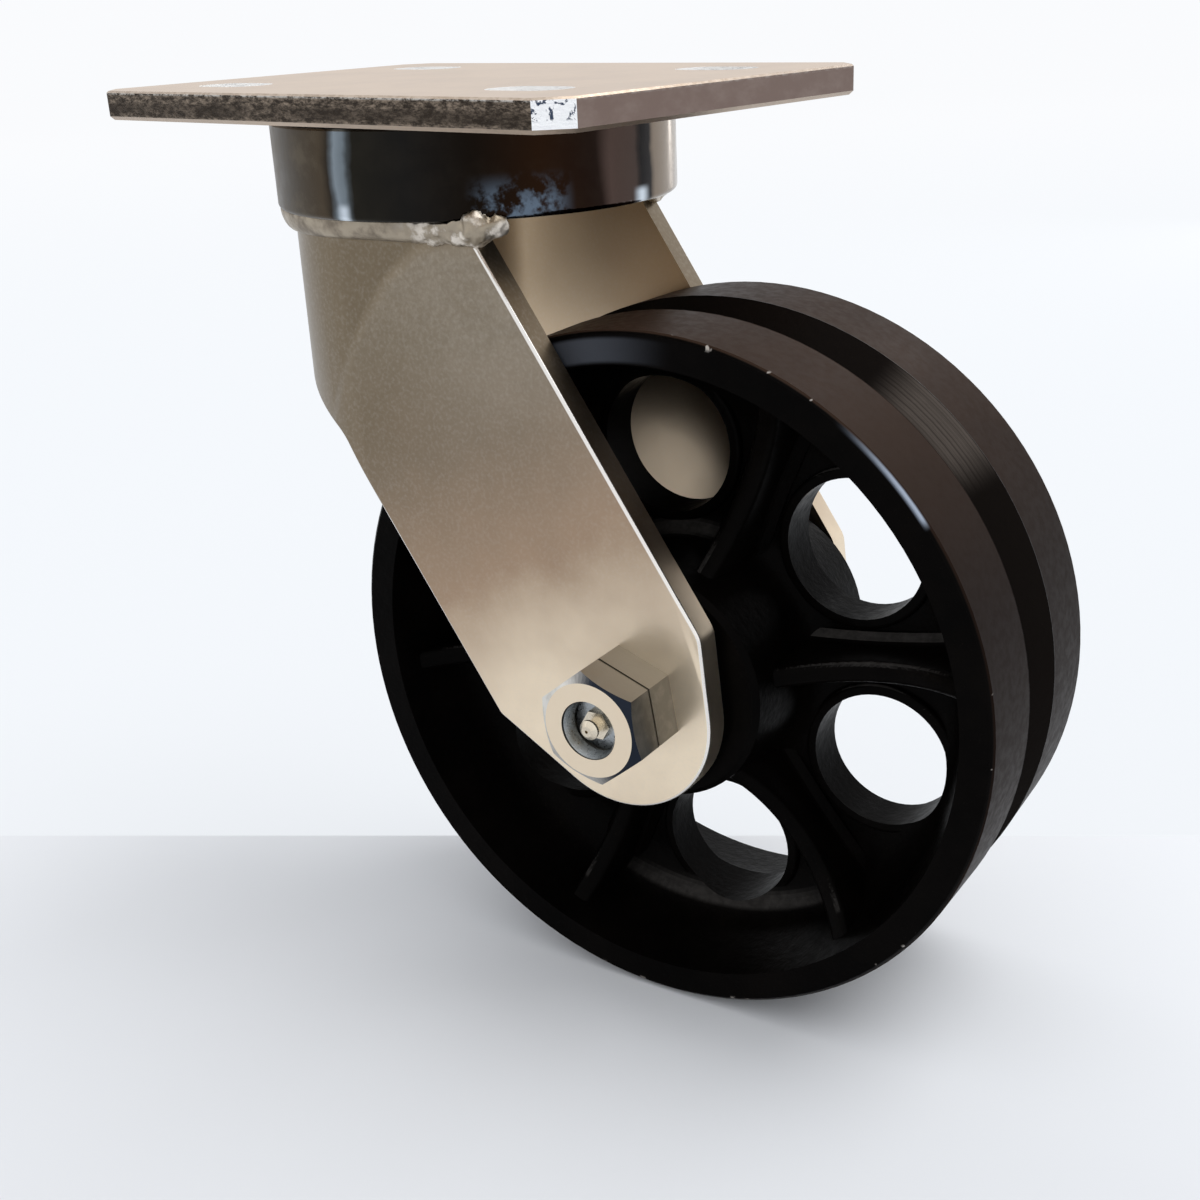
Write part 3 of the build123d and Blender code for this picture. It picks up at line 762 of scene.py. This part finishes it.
class Shop:
    """Mesh work that the sub-assemblies share, done with Blender's own operators."""

    @staticmethod
    def clear() -> None:
        """Deselect every object."""
        bpy.ops.object.select_all(action="DESELECT")

    @staticmethod
    def hold(piece: bpy.types.Object) -> None:
        """Make one object the only one selected and active.

        Args:
            piece: The object.
        """
        Shop.clear()
        piece.select_set(True)
        bpy.context.view_layer.objects.active = piece

    @staticmethod
    def dress(piece: bpy.types.Object, material: bpy.types.Material) -> None:
        """Give an object one material.

        Args:
            piece: The object.
            material: Its finish.
        """
        if not piece.material_slots:
            piece.data.materials.append(material)
        for slot in piece.material_slots:
            slot.material = material

    @staticmethod
    def copy_of(node: bpy.types.Object, name: str) -> bpy.types.Object:
        """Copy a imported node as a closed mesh, its loose triangles merged.

        Args:
            node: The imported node.
            name: The copy's name.

        Returns:
            The copy, the only object selected.
        """
        Shop.hold(node)
        bpy.ops.object.duplicate(linked=False)
        piece = bpy.context.view_layer.objects.active
        piece.name = name
        piece.data.name = name
        for key in list(piece.keys()):
            del piece[key]
        piece.parent = None
        bpy.ops.object.mode_set(mode="EDIT")
        bpy.ops.mesh.select_all(action="SELECT")
        bpy.ops.mesh.remove_doubles(threshold=0.000002)
        bpy.ops.mesh.customdata_custom_splitnormals_clear()
        bpy.ops.object.mode_set(mode="OBJECT")
        return piece

    @staticmethod
    def apply(piece: bpy.types.Object, kind: str, **values: object) -> None:
        """Add a modifier, set it and apply it.

        Args:
            piece: The object.
            kind: The modifier's type.
            **values: Its settings.
        """
        Shop.hold(piece)
        made = piece.modifiers.new(kind.lower(), kind)
        for key, value in values.items():
            setattr(made, key, value)
        bpy.ops.object.modifier_apply(modifier=made.name)

    @staticmethod
    def close(piece: bpy.types.Object) -> None:
        """Fill open borders and turn all faces outwards.

        Args:
            piece: The object.
        """
        Shop.hold(piece)
        bpy.ops.object.mode_set(mode="EDIT")
        bpy.ops.mesh.select_all(action="SELECT")
        bpy.ops.mesh.remove_doubles(threshold=0.00001)
        bpy.ops.mesh.select_all(action="DESELECT")
        bpy.ops.mesh.select_non_manifold()
        bpy.ops.mesh.edge_face_add()
        bpy.ops.mesh.select_all(action="SELECT")
        bpy.ops.mesh.normals_make_consistent(inside=False)
        bpy.ops.object.mode_set(mode="OBJECT")

    @staticmethod
    def settle(piece: bpy.types.Object, place: Place) -> None:
        """Carry a piece built at the origin to its place, in its mesh.

        Args:
            piece: The object.
            place: Where it belongs.
        """
        Shop.hold(piece)
        location, turn = place.value
        piece.location = location
        piece.rotation_euler = Euler([math.radians(angle) for angle in turn])
        bpy.ops.object.transform_apply(location=True, rotation=True, scale=True)

    @staticmethod
    def smooth(piece: bpy.types.Object, degrees: float = 32.0) -> None:
        """Shade smooth, with edges kept sharper than an angle.

        Args:
            piece: The object.
            degrees: The angle.
        """
        Shop.hold(piece)
        bpy.ops.object.shade_smooth_by_angle(angle=math.radians(degrees))


@dataclass
class MountingPlate:
    """Top plate with the boss, and the race that is welded to it."""

    nodes: dict[str, bpy.types.Object]
    finish: PlateZinc = field(default_factory=PlateZinc)

    def build(self) -> None:
        """Dress the plate and what turns with it."""
        material = self.finish.build()
        plate = Shop.copy_of(self.nodes["top_plate"], "plate_body")
        Shop.smooth(plate)
        Shop.dress(plate, material)
        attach(plate, Body.PLATE.value)
        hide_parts("top_plate")
        race = Hardware("race_steel", (0.30, 0.29, 0.28), (0.20, 0.19, 0.18), 0.35, Place.PLATE).build()
        ball = Hardware("ball_steel", (0.62, 0.62, 0.63), (0.55, 0.55, 0.56), 0.10, Place.PLATE).build()
        for name in ("lower_race", "race_weld"):
            Shop.dress(self.nodes[name], race)
        for name in ("upper_balls", "lower_balls"):
            Shop.dress(self.nodes[name], ball)
        log.info("mounting plate: plate_body and 4 packed nodes")


@dataclass
class SwivelHead:
    """Swivel ring with its seal and grease fitting."""

    nodes: dict[str, bpy.types.Object]
    finish: TurnedZinc = field(default_factory=TurnedZinc)

    def build(self) -> None:
        """Dress the ring and its small parts."""
        ring = Shop.copy_of(self.nodes["swivel_ring"], "ring_body")
        Shop.smooth(ring, 40.0)
        Shop.dress(ring, self.finish.build())
        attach(ring, Body.FORK.value)
        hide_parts("swivel_ring")
        Shop.dress(self.nodes["dust_seal"], SealRubber().build())
        base, other = (0.52, 0.49, 0.44), (0.40, 0.37, 0.33)
        small = Hardware("ring_fitting_zinc", base, other, 0.28, Place.FORK).build()
        for name in ("swivel_fitting", "swivel_fitting_head"):
            Shop.dress(self.nodes[name], small)
        log.info("swivel head: ring_body, seal and grease fitting")


@dataclass
class Fork:
    """The two formed legs and their weld beads."""

    nodes: dict[str, bpy.types.Object]
    finish: LegZinc = field(default_factory=LegZinc)
    bead_voxel: float = 0.0006

    def leg(self, side: str, material: bpy.types.Material) -> None:
        """Dress one leg.

        Args:
            side: near or far.
            material: The leg's finish.
        """
        node = f"leg_{side}"
        piece = Shop.copy_of(self.nodes[node], f"{node}_body")
        Shop.smooth(piece, 28.0)
        Shop.dress(piece, material)
        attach(piece, Body.FORK.value)
        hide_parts(node)

    def bead(self, side: str, material: bpy.types.Material) -> None:
        """Roughen one weld bead into the lumps and ripples of hand welding.

        Args:
            side: near or far.
            material: The bead's finish.
        """
        node = f"weld_{side}"
        piece = Shop.copy_of(self.nodes[node], f"{node}_bead")
        Shop.apply(piece, "REMESH", mode="VOXEL", voxel_size=self.bead_voxel, adaptivity=0.0)
        front = piece.vertex_groups.new(name="front")
        turn = math.radians(SWIVEL_DEG)
        for point in piece.data.vertices:
            ahead = point.co.x * math.cos(turn) + point.co.y * math.sin(turn)
            front.add([point.index], min(1.0, max(0.04, (ahead - 0.006) / 0.008)), "REPLACE")
        for size, strength in ((0.0040, 0.0014), (0.0014, 0.0008)):
            clouds = bpy.data.textures.new(f"{node}_{size}", "CLOUDS")
            clouds.noise_scale = size
            clouds.noise_depth = 1
            Shop.apply(piece, "DISPLACE", texture=clouds, texture_coords="LOCAL", strength=strength,
                       mid_level=0.55, vertex_group="front")
        Shop.smooth(piece, 80.0)
        Shop.dress(piece, material)
        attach(piece, Body.FORK.value)
        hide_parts(node)

    def build(self) -> None:
        """Dress both legs and both beads."""
        leg = self.finish.build()
        material = WeldZinc().build()
        for side in ("near", "far"):
            self.leg(side, leg)
            self.bead(side, material)
        log.info("fork: legs and weld beads")


@dataclass
class Axle:
    """Bolt, nuts, washers, bushing and grease fitting."""

    nodes: dict[str, bpy.types.Object]
    thread_radius: float = 0.00622
    thread_size: float = 0.00055
    thread_pitch: float = 0.00127
    thread_turns: int = 3
    thread_start: float = 0.0469

    def thread(self, material: bpy.types.Material) -> None:
        """Cut the helical thread that shows in the recess of the outer nut.

        Args:
            material: The thread's finish.
        """
        Shop.clear()
        bpy.ops.mesh.primitive_circle_add(vertices=3, radius=self.thread_size, location=(0.0, 0.0, 0.0))
        piece = bpy.context.object
        piece.name = "nut_thread"
        bpy.ops.object.mode_set(mode="EDIT")
        bpy.ops.mesh.select_all(action="SELECT")
        bpy.ops.transform.rotate(value=math.radians(-90.0), orient_axis="X", center_override=(0.0, 0.0, 0.0))
        bpy.ops.transform.translate(value=(self.thread_radius, 0.0, self.thread_start))
        bpy.ops.object.mode_set(mode="OBJECT")
        Shop.apply(piece, "SCREW", angle=2 * math.pi * self.thread_turns,
                   screw_offset=self.thread_pitch * self.thread_turns, axis="Z",
                   steps=40 * self.thread_turns, render_steps=40 * self.thread_turns)
        Shop.close(piece)
        Shop.settle(piece, Place.WHEEL)
        Shop.smooth(piece, 40.0)
        Shop.dress(piece, material)
        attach(piece, Body.FORK.value)

    def build(self) -> None:
        """Dress the axle's parts."""
        zinc = NutZinc().build()
        blue = Hardware("axle_end_zinc", (0.44, 0.47, 0.49), (0.28, 0.29, 0.28), 0.30).build()
        pale = Hardware("fitting_zinc", (0.80, 0.72, 0.58), (0.66, 0.58, 0.46), 0.25).build()
        steel = Hardware("washer_steel", (0.26, 0.25, 0.24), (0.18, 0.17, 0.16), 0.35).build()
        for name, finish in (("axle_nut", zinc), ("jam_nut", zinc), ("axle_bolt", blue)):
            piece = Shop.copy_of(self.nodes[name], f"{name}_body")
            Shop.smooth(piece, 25.0)
            Shop.dress(piece, finish)
            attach(piece, Body.FORK.value)
            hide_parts(name)
        self.thread(blue)
        for name in ("axle_fitting", "axle_fitting_head"):
            Shop.dress(self.nodes[name], pale)
        for name in ("washer_near", "washer_far", "spanner_bushing"):
            Shop.dress(self.nodes[name], steel)
        log.info("axle: bolt, nuts, washers, bushing and fitting")


@dataclass
class TrackWheel:
    """The cast wheel with its roller bearing."""

    nodes: dict[str, bpy.types.Object]
    finish: WheelBlack = field(default_factory=WheelBlack)

    def build(self) -> None:
        """Dress the wheel and its bearing."""
        wheel = Shop.copy_of(self.nodes["wheel"], "wheel_casting")
        Shop.smooth(wheel, 30.0)
        Shop.dress(wheel, self.finish.build())
        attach(wheel, Body.WHEEL.value)
        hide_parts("wheel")
        steel = Hardware("roller_steel", (0.50, 0.50, 0.50), (0.40, 0.40, 0.41), 0.18).build()
        for name in ("roller_cage", "bearing_rollers"):
            Shop.dress(self.nodes[name], steel)
        log.info("track wheel: wheel_casting and bearing")


@dataclass(frozen=True)
class Lamp:
    """One soft area light."""

    name: str
    place: tuple[float, float, float]
    aim: tuple[float, float, float]
    width: float
    height: float
    power: float
    tint: Color = (1.0, 1.0, 1.0)

    def build(self) -> None:
        """Add the light."""
        bpy.ops.object.light_add(type="AREA", location=self.place)
        lamp = bpy.context.object
        lamp.name = self.name
        lamp.data.shape = "RECTANGLE"
        lamp.data.size = self.width
        lamp.data.size_y = self.height
        lamp.data.energy = self.power
        lamp.data.color = self.tint
        way = Vector(self.aim) - Vector(self.place)
        lamp.rotation_euler = way.to_track_quat("-Z", "Y").to_euler()


@dataclass(frozen=True)
class Sun:
    """Wide soft light from far away."""

    name: str
    place: tuple[float, float, float]
    strength: float
    spread: float
    tint: Color = (1.0, 1.0, 1.0)

    def build(self) -> None:
        """Add the light, aimed at the origin."""
        bpy.ops.object.light_add(type="SUN", location=self.place)
        lamp = bpy.context.object
        lamp.name = self.name
        lamp.data.energy = self.strength
        lamp.data.angle = math.radians(self.spread)
        lamp.data.color = self.tint
        lamp.rotation_euler = (-Vector(self.place)).to_track_quat("-Z", "Y").to_euler()


@dataclass
class Studio:
    """Floor, backdrop colours, soft lights and the camera."""

    eye: tuple[float, float, float] = (0.252901, -0.248236, 0.016970)
    turn: tuple[float, float, float] = (67.1651, 2.2203, 39.9700)
    lens: float = 46.664
    shift: tuple[float, float] = (-0.02410, 0.03236)
    line_normal: tuple[float, float] = (-0.5897, 0.8077)
    line_place: float = 0.0193
    floor_front: Color = (0.650, 0.672, 0.712)
    floor_middle: Color = (0.810, 0.835, 0.880)
    back_near: Color = (0.865, 0.895, 0.935)
    back_far: Color = (0.955, 0.965, 0.985)
    world_light: float = 0.84

    def camera(self) -> None:
        """Place the camera at the photograph's angle."""
        bpy.ops.object.camera_add(location=self.eye)
        camera = bpy.context.object
        camera.name = "product_camera"
        camera.rotation_euler = Euler([math.radians(angle) for angle in self.turn])
        camera.data.lens = self.lens
        camera.data.sensor_width = 36.0
        camera.data.shift_x, camera.data.shift_y = self.shift
        camera.data.clip_start = 0.01
        camera.data.clip_end = 50.0
        bpy.context.scene.camera = camera

    def floor(self) -> None:
        """Lay the floor: pale grey in front, near white behind a line across it."""
        bpy.ops.mesh.primitive_plane_add(size=40.0, location=(0.0, 0.0, FLOOR_Z - 0.0002))
        floor = bpy.context.object
        floor.name = "studio_floor"
        g = Graph("studio_floor_paint")
        source = g.node("ShaderNodeTexCoord").outputs["Object"]
        x, y, _ = g.split(source)
        ahead = g.math("ADD", g.times(x, self.line_normal[0]), g.times(y, self.line_normal[1]))
        ahead = g.math("SUBTRACT", ahead, self.line_place)
        behind = g.span(ahead, -0.0004, 0.0004)
        far = g.span(ahead, 0.0, 2.5)
        # Painted shade: the floor darkens towards the front.
        near_color = g.blend(g.span(ahead, -0.26, -0.02), self.floor_front, self.floor_middle)
        back_color = g.blend(far, self.back_near, self.back_far)
        matt = g.node("ShaderNodeBsdfDiffuse")
        g.put(matt.inputs["Color"], g.blend(behind, near_color, back_color))
        glow = g.node("ShaderNodeEmission")
        g.put(glow.inputs["Color"], back_color)
        rays = g.node("ShaderNodeLightPath")
        seen = g.math("MAXIMUM", rays.outputs["Is Camera Ray"],
                      g.math("MAXIMUM", rays.outputs["Is Glossy Ray"], rays.outputs["Is Transmission Ray"]))
        share = g.math("MULTIPLY", g.math("MULTIPLY", seen, behind), g.span(ahead, 0.0, 3.0, 0.75, 1.0))
        mix = g.node("ShaderNodeMixShader")
        g.put(mix.inputs[0], share)
        g.put(mix.inputs[1], matt.outputs[0])
        g.put(mix.inputs[2], glow.outputs[0])
        out = g.node("ShaderNodeOutputMaterial")
        g.put(out.inputs["Surface"], mix.outputs[0])
        floor.data.materials.append(g.material)

    def world(self) -> None:
        """Set the world: pale where it is seen, a plain level where it lights."""
        world = bpy.data.worlds.new("studio_world")
        world.use_nodes = True
        bpy.context.scene.world = world
        tree = world.node_tree
        tree.nodes.clear()
        rays = tree.nodes.new("ShaderNodeLightPath")
        seen = tree.nodes.new("ShaderNodeMath")
        seen.operation = "MAXIMUM"
        other = tree.nodes.new("ShaderNodeMath")
        other.operation = "MAXIMUM"
        tree.links.new(rays.outputs["Is Glossy Ray"], other.inputs[0])
        tree.links.new(rays.outputs["Is Transmission Ray"], other.inputs[1])
        tree.links.new(rays.outputs["Is Camera Ray"], seen.inputs[0])
        tree.links.new(other.outputs[0], seen.inputs[1])
        light = tree.nodes.new("ShaderNodeBackground")
        light.inputs["Color"].default_value = (1.0, 1.0, 1.0, 1.0)
        light.inputs["Strength"].default_value = self.world_light
        view = tree.nodes.new("ShaderNodeBackground")
        view.inputs["Color"].default_value = (*self.back_far, 1.0)
        view.inputs["Strength"].default_value = 1.0
        mix = tree.nodes.new("ShaderNodeMixShader")
        out = tree.nodes.new("ShaderNodeOutputWorld")
        tree.links.new(seen.outputs[0], mix.inputs[0])
        tree.links.new(light.outputs[0], mix.inputs[1])
        tree.links.new(view.outputs[0], mix.inputs[2])
        tree.links.new(mix.outputs[0], out.inputs["Surface"])

    def lamps(self) -> None:
        """Hang the soft lights."""
        middle = (0.03, 0.0, -0.08)
        for lamp in (
            Sun("key_light", (0.50, 0.45, 1.20), 1.25, 42.0, (1.0, 0.99, 0.97)),
            Lamp("side_strip", (1.05, 0.40, 0.35), middle, 0.10, 0.9, 0.35),
            Lamp("back_strip", (-0.15, 1.10, 0.20), middle, 0.10, 0.8, 0.5),
            Lamp("fill_strip", (-0.75, -0.80, 0.30), middle, 0.28, 0.8, 0.25, (0.97, 0.98, 1.0)),
        ):
            lamp.build()

    def build(self) -> None:
        """Set the whole stage."""
        self.camera()
        self.floor()
        self.world()
        self.lamps()
        bpy.context.scene.view_settings.view_transform = "Standard"
        log.info("studio: camera, floor, world and lights")


def main() -> None:
    """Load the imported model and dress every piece."""
    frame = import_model()
    nodes = frame["nodes"]
    Shop.clear()
    Studio().build()
    for part in (MountingPlate(nodes), SwivelHead(nodes), Fork(nodes), Axle(nodes), TrackWheel(nodes)):
        part.build()
    Shop.clear()
    log.info("all pieces dressed")


if __name__ == "__main__":
    main()
